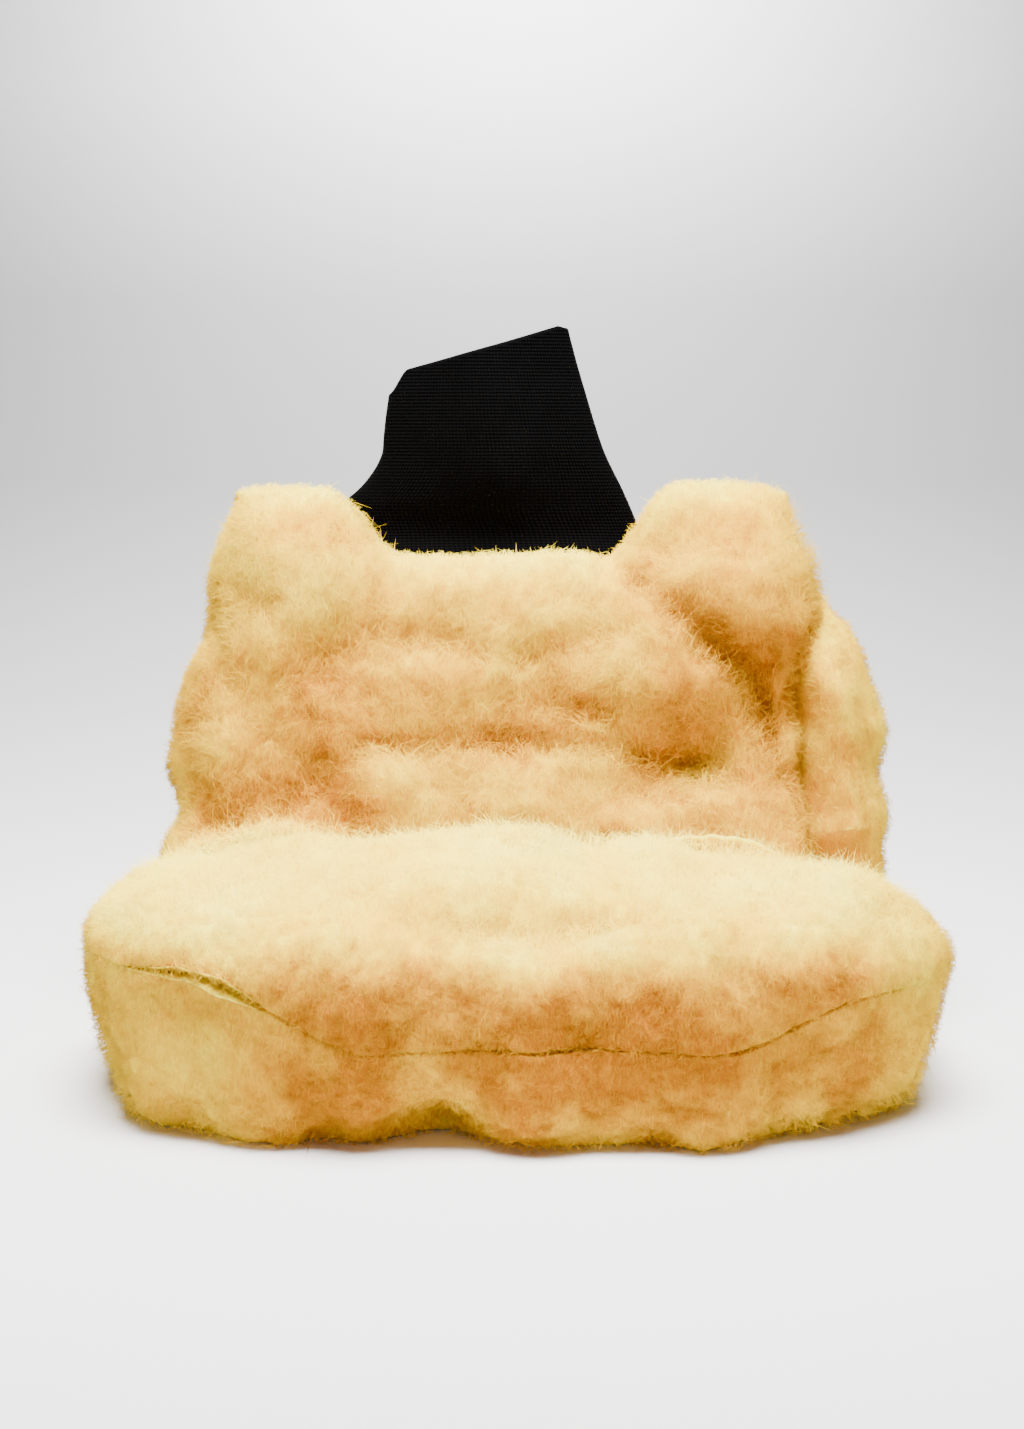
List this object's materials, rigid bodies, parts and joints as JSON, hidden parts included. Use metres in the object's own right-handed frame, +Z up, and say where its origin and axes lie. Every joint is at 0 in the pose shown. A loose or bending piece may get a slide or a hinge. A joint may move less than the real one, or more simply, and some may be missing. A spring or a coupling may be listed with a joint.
{
  "type": "wash mitt",
  "caption": "Wool-covered wash mitt, finger end lying flat and wrist end raised, with a folding knit cuff round the hand opening.",
  "frame": {"origin": "centre of the bounding box on the surface that the mitt stands on", "axes": "+Z up; -Y towards the finger end and the front panel; +X across the mitt, to the right seen from the front"},
  "size_m": [0.2476, 0.195, 0.2162],
  "materials": {
    "hide": "soft suede side of a tanned skin",
    "wool_pile": "thick curly wool pile, golden cream",
    "seam_thread": "matte twisted sewing thread",
    "black_knit": "matte fine ribbed knit",
    "black_thread": "matte twisted sewing thread"
  },
  "bodies": {
    "mitt": {"front_skin": "hide", "back_skin": "hide", "front_wool": "wool_pile", "back_wool": "wool_pile", "perimeter_seam_thread": "seam_thread", "mouth_seam_thread": "seam_thread", "cuff_sewn_edge": "black_knit", "cuff_bend_band": "black_knit"},
    "cuff": {"cuff_tube": "black_knit", "cuff_side_seam_thread": "black_thread"}
  },
  "joints": [
    {"name": "cuff_fold", "type": "hinge", "parent": "mitt", "child": "cuff", "pos_m": [-0.004, 0.06666, 0.1483], "axis": [1, 0, 0], "range_deg": [-80, 55], "deforming": ["cuff_bend_band"]}
  ]
}
